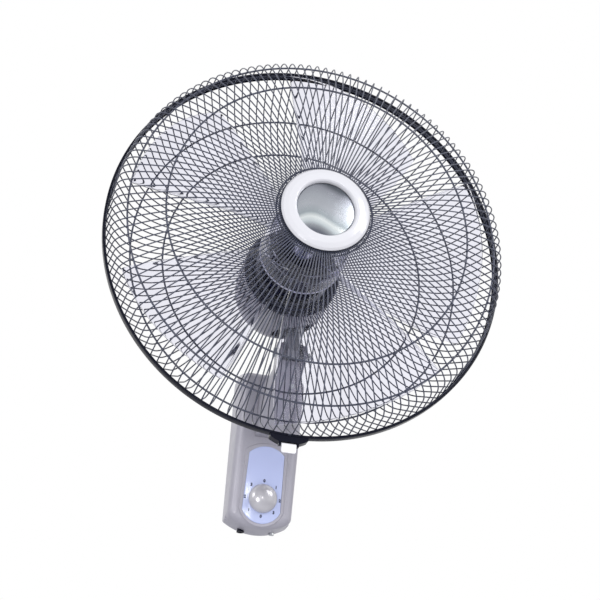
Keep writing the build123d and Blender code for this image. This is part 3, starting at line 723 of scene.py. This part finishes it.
# ------------------------------------------------------------------ guards
@dataclass
class GuardCage:
    """One wire guard: bent round wires, laid on rings of thicker wire."""

    name: str
    wire_nodes: Tuple[str, ...]
    corners: Line
    radii: Sequence[float]
    rings: Line
    wires: int = 136
    wire_d: float = 1.4
    ring_d: float = 2.0
    wire_sides: int = 8
    ring_sides: int = 12
    ring_segments: int = 240
    bend_steps: int = 10
    crisp: float = 60.0

    def wire_mesh(self, material: Material) -> Object:
        """All wires of the guard.

        The bent line (r(s), d(s)) has unit normal n(s); a wire's skin is
        r = r(s) + w cos(f) n_r, d = d(s) + w cos(f) n_d, t = w sin(f), copied at even angles.

        Args:
            material: The wires' finish.

        Returns:
            The piece.
        """
        line = rounded(self.corners, self.radii, self.bend_steps)
        step = np.gradient(line, axis=0)
        step /= np.linalg.norm(step, axis=1, keepdims=True)
        normal = np.stack([-step[:, 1], step[:, 0]], axis=1)
        line = np.concatenate([line[:1], line, line[-1:]])
        normal = np.concatenate([normal[:1], normal, normal[-1:]])
        width = np.full(len(line), self.wire_d / 2)
        width[[0, -1]] = 0.0
        around = np.linspace(0.0, math.tau, self.wire_sides, endpoint=False)
        out = width[:, None] * np.cos(around)
        radius = line[:, :1] + out * normal[:, :1]
        depth = line[:, 1:] + out * normal[:, 1:]
        across = width[:, None] * np.sin(around)
        builder = MeshBuilder(self.name + "_wires_fine")
        for k in range(self.wires):
            angle = np.array(math.pi / 2 - math.tau * k / self.wires)
            builder.grid(about_fan_axis(radius, depth, angle, across), wrap_cols=True)
        return builder.build(material, self.crisp)

    def ring_mesh(self, material: Material) -> Object:
        """The rings: circles of ring_d turned about the fan axis at (radius, depth).

        Args:
            material: The rings' finish.

        Returns:
            The piece.
        """
        builder = MeshBuilder(self.name + "_rings_fine")
        around = np.linspace(0.0, math.tau, self.ring_sides, endpoint=False)
        circle = np.stack([np.cos(around), np.sin(around)], axis=1) * self.ring_d / 2
        for radius, depth in self.rings:
            builder.lathe(circle + np.array([radius, depth]), self.ring_segments, closed=True)
        return builder.build(material, self.crisp)

    def assemble(self, rack: FinishRack) -> None:
        """Builds both pieces in place of their nodes."""
        place(self.wire_mesh(rack.wire), Body.HEAD, "guard_wire", *self.wire_nodes)
        place(self.ring_mesh(rack.wire), Body.HEAD, "guard_wire", self.name + "_rings")


@dataclass
class GuardBand:
    """The black channel that clamps the two guards together."""

    outer: float = 217.3
    wall: float = 216.0
    front_lip: Spot = (214.8, 4.6, 3.2)
    rear_lip: Spot = (213.0, -4.8, -3.3)
    corner: float = 0.45
    gap_at: float = -3.9
    gap: float = 3.0
    segments: int = 361

    def assemble(self, rack: FinishRack) -> None:
        """Turns a rounded channel section about the axis, open by the gap at the bottom.

        Args:
            rack: The finishes.
        """
        (front_in, front, front_back), (rear_in, rear, rear_front) = self.front_lip, self.rear_lip
        section = closed_loop([
            (front_in, front), (self.outer, front), (self.outer, rear), (rear_in, rear),
            (rear_in, rear_front), (self.wall, rear_front),
            (self.wall, front_back), (front_in, front_back)], self.corner)
        opening = self.gap / self.outer
        middle = -math.pi / 2 + self.gap_at / self.outer
        builder = MeshBuilder("guard_band_fine")
        builder.lathe(section, self.segments, True, middle + opening / 2, math.tau - opening)
        place(builder.build(rack.black, 50.0), Body.HEAD, "dark_plastic", "guard_band")


@dataclass
class Badge:
    """White ring and bare silver disc in the middle of the front guard."""

    back: float = 83.0
    ring_corner: float = 1.1
    ring_front: Line = ((46.6, 84.0), (46.6, 85.2), (44.6, 87.2), (39.8, 89.2), (34.8, 90.1),
                        (32.5, 89.9), (31.2, 88.4), (30.6, 86.2))
    ring_seat: float = 44.5
    disc_radius: float = 30.3
    dome_radius: float = 29.6
    dome_edge: float = 85.6
    dome_rise: float = 2.0
    chamfer: float = 85.1
    crisp: float = 50.0

    def assemble(self, rack: FinishRack) -> None:
        """Turns the ring's crowned section, then the disc: depth = edge + rise (1 - (r / R)^2).

        Args:
            rack: The finishes.
        """
        seat = [(self.ring_front[-1][0], self.back), (self.ring_seat, self.back)]
        ring = closed_loop([*seat, *self.ring_front], self.ring_corner, 5)
        builder = MeshBuilder("badge_ring_fine").lathe(ring, 192, True)
        place(builder.build(rack.white, self.crisp), Body.HEAD, "white_plastic", "badge_ring")
        radius = self.dome_radius * np.sin(np.linspace(0.0, math.pi / 2, 20))
        height = self.dome_edge + self.dome_rise * (1 - (radius / self.dome_radius) ** 2)
        edge = rounded([(self.dome_radius, self.dome_edge), (self.disc_radius, self.chamfer),
                        (self.disc_radius, self.back), (0.0, self.back)], [0.3, 0.2], 3)
        disc = np.concatenate([np.stack([radius, height], axis=1), edge[1:]])
        builder = MeshBuilder("badge_disc_fine").lathe(disc, 160, False)
        place(builder.build(rack.badge, self.crisp), Body.HEAD, "badge_silver", "badge_disc")


# ------------------------------------------------------------------ rotor
@dataclass
class Impeller:
    """Five clear blades on a clear hub with ribs inside."""

    blades: int = 5
    stations: Sequence[Tuple[float, float, float, float]] = (
        (43.0, 60.0, 34.0, -2.0), (85.0, 104.0, 29.0, 0.0), (130.0, 146.0, 23.0, 6.0),
        (172.0, 178.0, 19.0, 12.0), (206.0, 196.0, 17.0, 18.0))
    thickness: float = 2.2
    camber: float = 0.055
    ahead: float = 2.0
    root: float = 45.2
    tip: float = 196.0
    hub: Line = (
        (46.5, -21.0), (46.5, 6.0), (44.0, 16.0), (38.0, 22.0), (30.0, 24.5), (11.0, 25.0),
        (11.0, 28.0), (4.1, 28.0), (4.1, -12.0), (10.5, -12.0), (10.5, 22.4), (29.0, 22.2),
        (36.6, 19.8), (41.6, 14.6), (44.0, 5.0), (44.0, -21.0))
    bead: Line = ((45.6, -20.95), (46.7, -20.95), (46.7, -18.2), (46.3, -17.8), (45.6, -17.8))
    rib_reach: Tuple[float, float] = (10.0, 43.8)
    rib_depth: Tuple[float, float] = (20.6, -5.0)
    rib_half: float = 0.9
    rib_slope: float = 12.0
    crisp: float = 40.0

    def skin(self, reach: Array, s: Array, side: float, edge: Array) -> Tuple[Array, Array]:
        """One side of a blade at plane distance reach and chord share s.

        Chord c, pitch p and lead l are curves through the stations. The middle surface is
        (s c / 2, (camber c + t) (1 - s^2) - t), the skin lies side * t sqrt(1 - s^40) from it, and
        the section is turned by p and moved to (l, ahead).

        Args:
            reach: Distance of the section's plane from the fan axis, mm.
            s: Share of the half chord, -1 to 1.
            side: 1 for the front skin, -1 for the rear skin.
            edge: Factor on the thickness, which rounds the tip.

        Returns:
            The sideways and depth measures, mm.
        """
        table = np.asarray(self.stations)
        chord, pitch, lead = (np.polyval(np.polyfit(table[:, 0] / 100, table[:, k], 4), reach / 100)
                              for k in (1, 2, 3))
        half_t = self.thickness / 2
        x = s * chord / 2
        y = (self.camber * chord + half_t) * (1 - s**2) - half_t + side * edge * half_t * np.sqrt(1 - s**40)
        turn = np.radians(pitch)
        return lead + x * np.cos(turn) - y * np.sin(turn), self.ahead + x * np.sin(turn) + y * np.cos(turn)

    def reach_for(self, radius: float, s: Array) -> Array:
        """Plane distance at which each chord share lies at a radius, by repeated substitution.

        Args:
            radius: Distance from the fan axis, mm.
            s: Shares of the half chord, -1 to 1.

        Returns:
            The plane distances, mm.
        """
        reach = np.full_like(s, radius)
        for _ in range(16):
            sideways, _depth = self.skin(reach, s, 0.0, np.zeros_like(s))
            reach = np.sqrt(np.maximum(radius**2 - sideways**2, 100.0))
        return reach

    def blade(self, rows: int = 34, cols: int = 24) -> Tuple[Array, Array, Array]:
        """Closed skin of the first blade: both skins on one grid, thinned to nothing at the tip.

        Args:
            rows: Sections from root to tip, closer together near the tip.
            cols: Points along a chord, closer together near its ends.

        Returns:
            Plane distance, sideways and depth measures, mm.
        """
        s = -np.cos(np.linspace(0.0, math.pi, cols))[None, :]
        u = np.sin(np.linspace(0.0, math.pi / 2, rows))[:, None]
        low, high = self.reach_for(self.root, s), self.reach_for(self.tip, s)
        reach = low + (high - low) * u
        edge = np.sqrt(np.clip(1 - u**400, 0.0, 1.0)) * np.ones_like(s)
        front = self.skin(reach, s * np.ones_like(u), 1.0, edge)
        rear = self.skin(reach, s * np.ones_like(u), -1.0, edge)
        parts = [np.concatenate([f, r[:, ::-1]], axis=1) for f, r in zip((reach, *front), (reach, *rear))]
        return parts[0], parts[1], parts[2]

    def rib(self, angle: float) -> Array:
        """A flat rib inside the hub: a rectangle swept from boss to wall, its front sloping back.

        Args:
            angle: Where it stands about the fan axis.

        Returns:
            Its points in metres, one row at each end.
        """
        reach = np.array(self.rib_reach)[:, None]
        half, (front, back) = self.rib_half, self.rib_depth
        corner = np.array([(half, front), (-half, front), (-half, back), (half, back)])
        slope = np.array([[0.0, 0.0, 0.0, 0.0], [-self.rib_slope, -self.rib_slope, 0.0, 0.0]])
        return about_fan_axis(reach, corner[:, 1] + slope, np.array(angle), corner[:, 0])

    def assemble(self, rack: FinishRack) -> None:
        """Blades in place of the moulding, the hub with its ribs, and the bead at its rear edge.

        Args:
            rack: The finishes.
        """
        reach, sideways, depth = self.blade()
        builder = MeshBuilder("fan_blades_fine")
        step = math.tau / self.blades
        for k in range(self.blades):
            builder.grid(about_fan_axis(reach, depth, np.array(-k * step), sideways),
                         wrap_cols=True, cap_rows=True)
        place(builder.build(rack.smoke, self.crisp), Body.ROTOR, "smoke_clear", "fan_blade")
        builder = MeshBuilder("fan_hub_fine").lathe(closed_loop(self.hub, 0.8, 3), 120, True)
        for k in range(self.blades):
            builder.grid(self.rib((k + 0.5) * step), wrap_cols=True, cap_rows=True)
        place(builder.build(rack.hub, self.crisp), Body.ROTOR, "smoke_clear")
        builder = MeshBuilder("fan_hub_bead_fine").lathe(closed_loop(self.bead, 0.2, 3), 160, True)
        place(builder.build(rack.bead, self.crisp), Body.ROTOR, "smoke_clear")


# ------------------------------------------------------------------ wall base
@dataclass
class SlopingFace:
    """The base's front plane, which leans forward at the top."""

    origin_y: float = -38.9
    origin_z: float = -65.4
    lean: float = 8.0

    def to_world(self, x: Array, up: Array, out: Array) -> Array:
        """Points from measures on the plane: X = x, and up and out turned by the lean.

        Args:
            x: Distance to the right of the base's middle, mm.
            up: Distance up the plane from the knob's centre, mm.
            out: Distance ahead of the plane, mm.

        Returns:
            An array of points in metres, with a last axis of 3.
        """
        s, c = math.sin(math.radians(self.lean)), math.cos(math.radians(self.lean))
        x, up, out = np.broadcast_arrays(x, up, out)
        y, z = self.origin_y - out * c - up * s, self.origin_z - out * s + up * c
        return np.stack([x, y, z], axis=-1) * MM


@dataclass
class ControlPanel:
    """The pale blue panel: an arched outline, gently crowned from side to side."""

    face: SlopingFace
    top: float = 61.1
    low: float = -28.9
    top_half: float = 21.0
    low_half: float = 22.6
    shoulder: float = 9.0
    hip: float = -14.1
    back: float = 0.25
    height: float = 2.25
    crown: float = 1.2
    edge_shares: Tuple[float, float, float] = (0.985, 0.994, 1.0)
    edge_drops: Tuple[float, float] = (0.08, 0.3)

    def level(self, x: Array) -> Array:
        """Height of the crowned face: height - crown (x / low_half)^2."""
        return self.height - self.crown * (x / self.low_half) ** 2

    def arc(self, half: float, base: float, peak: float, steps: int = 40) -> Array:
        """An arc from (half, base) over (0, peak) to (-half, base).

        With a rise h, its radius is (half^2 + h^2) / 2h.

        Args:
            half: Half of the chord.
            base: Where the chord lies.
            peak: Where the arc's middle lies.
            steps: Points, less one.

        Returns:
            The points, as x and up.
        """
        rise = abs(peak - base)
        radius = (half**2 + rise**2) / (2 * rise)
        reach = math.atan2(half, radius - rise)
        angle = np.linspace(reach, -reach, steps + 1)
        sign = math.copysign(1.0, peak - base)
        up = base + sign * (rise - radius + radius * np.cos(angle))
        return np.stack([radius * np.sin(angle), up], axis=1)

    def outline(self) -> Array:
        """Two arcs joined by straight sides.

        Returns:
            The closed outline, as points on the sloping plane.
        """
        top = self.arc(self.top_half, self.top - self.shoulder, self.top)
        low = self.arc(self.low_half, self.hip, self.low)[::-1]
        sides = np.linspace(0.0, 1.0, 12)[1:-1, None]
        left = top[-1] + (low[0] - top[-1]) * sides
        right = low[-1] + (top[0] - low[-1]) * sides
        return np.concatenate([top, left, low, right])

    def assemble(self, rack: FinishRack) -> None:
        """Rings of the outline shrunk towards its middle: the crowned face, a rounded edge, the back.

        Args:
            rack: The finishes.
        """
        edge = self.outline()
        middle = np.array([0.0, (self.top + self.low) / 2])
        inner, bevel, rim = self.edge_shares
        share = np.concatenate([np.linspace(0.0, inner, 26), [bevel, rim, rim, 0.0]])[:, None]
        points = middle + (edge - middle)[None, :, :] * share[:, :, None]
        x, up = points[..., 0], points[..., 1]
        out = self.level(x)
        out[-4] -= self.edge_drops[0]
        out[-3] -= self.edge_drops[1]
        out[-2:] = self.back
        builder = MeshBuilder("control_panel_fine").grid(self.face.to_world(x, up, out), wrap_cols=True)
        place(builder.build(rack.panel, 40.0), Body.BASE, "panel_blue", "control_panel")


@dataclass
class SpeedDial:
    """Domed knob and the numbers printed round it."""

    face: SlopingFace
    panel: ControlPanel
    radius: float = 16.9
    height: float = 10.4
    skirt: float = 2.2
    round_off: float = 0.5
    hollow: Line = ((9.2, 0.0), (9.2, 4.4), (3.1, 4.4), (3.1, 7.4), (0.0, 7.4))
    back: float = 2.7
    dent_depth: float = 0.55
    dent_size: Tuple[float, float] = (1.0, 1.5)
    dent_inset: float = 4.6
    digits: str = "01230123"
    mark_radius: float = 20.6
    mark_size: float = 4.6
    mark_lift: float = 0.06
    mark_half: float = 0.04
    mark_weight: float = 0.32

    def knob(self, rack: FinishRack) -> None:
        """Turns the knob: a low skirt, a full dome and a small sunk mark near the rim.

        r(s) = R sin(s), height(s) = skirt + dome cos(s) for s from 0 at the top, and the mark is
        a dent of depth exp(-((x / width)^2 + (y / length)^2)) about its centre.

        Args:
            rack: The finishes.
        """
        s = np.linspace(0.0, math.pi / 2, 26)
        rim = self.radius - self.round_off
        dome = np.stack([rim * np.sin(s), self.skirt + (self.height - self.skirt) * np.cos(s)], axis=1)
        edge = [(rim, self.skirt), (self.radius, self.skirt - self.round_off), (self.radius - 1.3, 0.0)]
        foot = rounded([*edge, *self.hollow], [0.3, 0.3, 0.2, 0.2, 0.2, 0.2], 3)
        profile = np.concatenate([dome, foot[1:]])
        angle = np.linspace(0.0, math.tau, 96, endpoint=False)
        x = profile[:, :1] * np.sin(angle)
        up = profile[:, :1] * np.cos(angle)
        width, length = self.dent_size
        below = up - self.radius + self.dent_inset
        dent = self.dent_depth * np.exp(-(((x / width) ** 2) + (below / length) ** 2))
        out = profile[:, 1:] - np.where(np.arange(len(profile))[:, None] < len(dome), dent, 0.0)
        builder = MeshBuilder("speed_knob_fine")
        builder.grid(self.face.to_world(x, up, self.back + out), wrap_cols=True)
        place(builder.build(rack.knob, 40.0), Body.DIAL, "knob_pearl", "speed_knob")

    def digit_mesh(self, name: str, digit: str) -> bpy.types.Mesh:
        """A number as a thin mesh about its own centre.

        Args:
            name: Name of the text while it is shaped.
            digit: The number.

        Returns:
            The mesh, in metres.
        """
        text = bpy.data.curves.new(name, "FONT")
        text.body = digit
        text.size = self.mark_size * MM
        text.extrude = self.mark_half * MM
        text.offset = self.mark_weight * MM
        text.align_x, text.align_y = "CENTER", "CENTER"
        curve = add_to_scene(name + "_text", text)
        mesh = bpy.data.meshes.new_from_object(curve)
        bpy.data.objects.remove(curve)
        return mesh

    def marks(self, rack: FinishRack) -> None:
        """The numbers 0 to 3, twice round the dial, as thin raised ink on the crowned panel.

        Args:
            rack: The finishes.
        """
        for k, digit in enumerate(self.digits):
            angle = math.pi / 2 - math.tau * k / len(self.digits)
            mesh = self.digit_mesh(f"mark_{k}", digit)
            local = np.empty(len(mesh.vertices) * 3)
            mesh.vertices.foreach_get("co", local)
            local = local.reshape(-1, 3) / MM
            x = self.mark_radius * math.cos(angle) + local[:, 0]
            up = self.mark_radius * math.sin(angle) + local[:, 1]
            laid = self.face.to_world(x, up, self.panel.level(x) + self.mark_lift + local[:, 2])
            mesh.vertices.foreach_set("co", laid.reshape(-1))
            mesh.materials.clear()
            mesh.materials.append(rack.ink)
            place(add_to_scene(f"dial_mark_{k}", mesh), Body.BASE, "dark_plastic")

    def assemble(self, rack: FinishRack) -> None:
        """Knob first, then the numbers."""
        self.knob(rack)
        self.marks(rack)


# ------------------------------------------------------------------ carried-over nodes
@dataclass
class CarriedParts:
    """Finishes for the nodes whose own shape stays."""

    def groups(self, rack: FinishRack) -> Dict[Material, Sequence[str]]:
        """Which nodes take which finish.

        Args:
            rack: The finishes.

        Returns:
            The nodes' names by finish.
        """
        return {
            rack.shell: ("base_front_cover", "base_rear_shell", "neck_arm", "motor_cover", "clutch_knob"),
            rack.zinc: ("wall_bracket", "base_screws", "lock_screw", "foot_screws", "neck_screws",
                        "tilt_bolt", "tilt_nut", "gearbox_screws", "bell_bolts", "cover_screw",
                        "clamp_screw", "clip_pin", "drive_pin", "post_screw", "pivot_post",
                        "motor_shaft", "clutch_shaft", "switch_nut", "switch_shaft"),
            rack.black: ("band_clamp", "inlet_gland"),
            rack.nut_black: ("guard_nut",),
            rack.grey: ("tilt_washers", "pivot_bush", "terminal_block", "gearbox_lid", "speed_switch",
                        "worm_wheel"),
            rack.clip_white: ("guard_clip",),
            rack.cast: ("tilt_block", "gearbox_body", "motor_front_bell", "motor_rear_bell", "rotor_core"),
            rack.sheet: ("worm", "rear_guard_plate"),
            rack.plate: ("front_hub_plate",),
            rack.laminations: ("stator_core",),
            rack.copper: ("stator_windings",),
            rack.bronze: ("front_bearing", "rear_bearing"),
            rack.can: ("capacitor",),
            rack.hub: ("blade_nut",),
        }

    def assemble(self, rack: FinishRack) -> None:
        """Puts each finish on its nodes.

        Args:
            rack: The finishes.
        """
        for material, nodes in self.groups(rack).items():
            for name in nodes:
                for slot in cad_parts[name].material_slots:
                    slot.material = material
                log.info("%s keeps its shape in %s", name, material.name)


# ------------------------------------------------------------------ studio
@dataclass(frozen=True)
class Lamp:
    """A square soft lamp: where it is and what it looks at, in metres, its size and its watts."""

    name: str
    at: Spot
    to: Spot
    size: float
    power: float

    def assemble(self) -> None:
        """Makes the lamp, with its -Z axis towards what it looks at."""
        data = bpy.data.lights.new(self.name, "AREA")
        data.size, data.energy = self.size, self.power
        lamp = bpy.data.objects.new(self.name, data)
        lamp.visible_transmission = False
        away = np.asarray(self.at) - np.asarray(self.to)
        away /= np.linalg.norm(away)
        side = np.cross((0.0, 0.0, 1.0), away)
        side /= np.linalg.norm(side)
        matrix = np.eye(4)
        matrix[:3, :3] = np.stack([side, np.cross(away, side), away], axis=1)
        matrix[:3, 3] = self.at
        lamp.matrix_world = Matrix(matrix.tolist())
        bpy.context.scene.collection.objects.link(lamp)


@dataclass
class Studio:
    """Camera, soft lamps, white surround and a pale floor."""

    focal_px: float = 1300.0
    frame_px: float = 600.0
    sensor: float = 36.0
    far: float = 50.0
    band_centre: Spot = (6.455, 57.401, -1394.603)
    front: Spot = (0.2336, 0.4066, 0.8832)
    up: Spot = (0.0650, 0.8990, -0.4317)
    lamps: Tuple[Lamp, ...] = (
        Lamp("key", (-2.0, -1.75, 0.55), (0, -0.2, 0.05), 1.0, 14.0),
        Lamp("fill", (1.1, -1.5, 0.85), (0, -0.1, -0.05), 0.8, 16.0),
        Lamp("low", (-0.67, -1.95, -0.50), (0, -0.04, -0.05), 0.45, 10.0),
        Lamp("sheen", (-0.05, -2.0, -0.07), (0, -0.04, -0.06), 0.24, 2.7),
        Lamp("back", (-1.2, 0.9, 1.5), (0, -0.2, 0.1), 0.9, 8.0))
    soft_colour: Colour = (0.93, 0.94, 1.0)
    soft_strength: float = 0.62
    floor_half: float = 6.0
    floor_height: float = -1.25

    def camera(self) -> None:
        """Sets the camera from the band's centre and the head's axes as the camera sees them."""
        back = -np.asarray(self.front)
        back /= np.linalg.norm(back)
        up = np.asarray(self.up) - back * (np.asarray(self.up) @ back)
        up /= np.linalg.norm(up)
        side = np.cross(back, up)
        turn = np.stack([side, back, up], axis=1)
        eye = turn.T @ (-np.asarray(self.band_centre)) + np.array([HEAD_X, BAND_Y, HEAD_Z])
        data = bpy.data.cameras.new("camera")
        data.sensor_width = self.sensor
        data.lens = self.focal_px / self.frame_px * self.sensor
        data.clip_end = self.far
        camera = bpy.data.objects.new("camera", data)
        matrix = np.eye(4)
        matrix[:3, :3] = turn.T
        matrix[:3, 3] = eye * MM
        camera.matrix_world = Matrix(matrix.tolist())
        bpy.context.scene.collection.objects.link(camera)
        bpy.context.scene.camera = camera

    def surround(self) -> None:
        """A soft grey world that camera, glossy and transmitted rays see as white."""
        world = bpy.data.worlds.new("surround")
        world.use_nodes = True
        tree = world.node_tree
        tree.nodes.clear()
        path = tree.nodes.new("ShaderNodeLightPath")
        first = tree.nodes.new("ShaderNodeMath")
        second = tree.nodes.new("ShaderNodeMath")
        for node in (first, second):
            node.operation = "MAXIMUM"
        tree.links.new(path.outputs["Is Camera Ray"], first.inputs[0])
        tree.links.new(path.outputs["Is Glossy Ray"], first.inputs[1])
        tree.links.new(first.outputs[0], second.inputs[0])
        tree.links.new(path.outputs["Is Transmission Ray"], second.inputs[1])
        mix = tree.nodes.new("ShaderNodeMixShader")
        out = tree.nodes.new("ShaderNodeOutputWorld")
        tree.links.new(second.outputs[0], mix.inputs["Fac"])
        skies = ((self.soft_colour, self.soft_strength), ((1.0, 1.0, 1.0), 1.0))
        for k, (colour, strength) in enumerate(skies, start=1):
            sky = tree.nodes.new("ShaderNodeBackground")
            sky.inputs["Color"].default_value = (*colour, 1.0)
            sky.inputs["Strength"].default_value = strength
            tree.links.new(sky.outputs[0], mix.inputs[k])
        tree.links.new(mix.outputs[0], out.inputs["Surface"])
        bpy.context.scene.world = world

    def floor(self) -> None:
        """A wide pale floor, well below the fan."""
        g = Graph("floor_pale")
        g.paint(g.ramp(g.noise(2.0), ((NOISE_LOW, (0.8, 0.8, 0.81)), (NOISE_HIGH, (0.84, 0.84, 0.85)))))
        g.set(Roughness=0.8)
        mesh = bpy.data.meshes.new("floor")
        corners = [(x * self.floor_half, y * self.floor_half, self.floor_height)
                   for x, y in ((-1, -1), (1, -1), (1, 1), (-1, 1))]
        mesh.from_pydata(corners, [], [(0, 1, 2, 3)])
        mesh.materials.append(g.material)
        add_to_scene("floor", mesh)

    def assemble(self) -> None:
        """Everything round the fan."""
        self.camera()
        self.surround()
        self.floor()
        for lamp in self.lamps:
            lamp.assemble()
        bpy.context.scene.view_settings.view_transform = "Standard"


FRONT_GUARD = GuardCage(
    "front_guard", ("front_guard_wires_left", "front_guard_wires_right"),
    ((42.0, 81.5), (138.0, 81.5), (209.5, 38.5), (213.18, 0.6)), (240.0, 24.0),
    ((214.9, 1.7), (159.76, 62.78), (196.51, 44.31), (50.5, 79.78)))
REAR_GUARD = GuardCage(
    "rear_guard", ("rear_guard_wires",),
    ((42.4, -62.0), (182.5, -59.5), (213.18, -0.6)), (50.0,),
    ((214.9, -1.7), (48.0, -60.18), (146.5, -58.42), (183.2, -46.79)))


def main() -> None:
    """Builds the fan from the wall outwards, then the studio."""
    rack = FinishRack.make()
    CarriedParts().assemble(rack)
    panel = ControlPanel(SlopingFace())
    panel.assemble(rack)
    SpeedDial(panel.face, panel).assemble(rack)
    for guard in (FRONT_GUARD, REAR_GUARD):
        guard.assemble(rack)
    GuardBand().assemble(rack)
    Badge().assemble(rack)
    Impeller().assemble(rack)
    Studio().assemble()


if __name__ == "__main__":
    logging.basicConfig(level=logging.INFO, format="%(name)s: %(message)s")
    main()
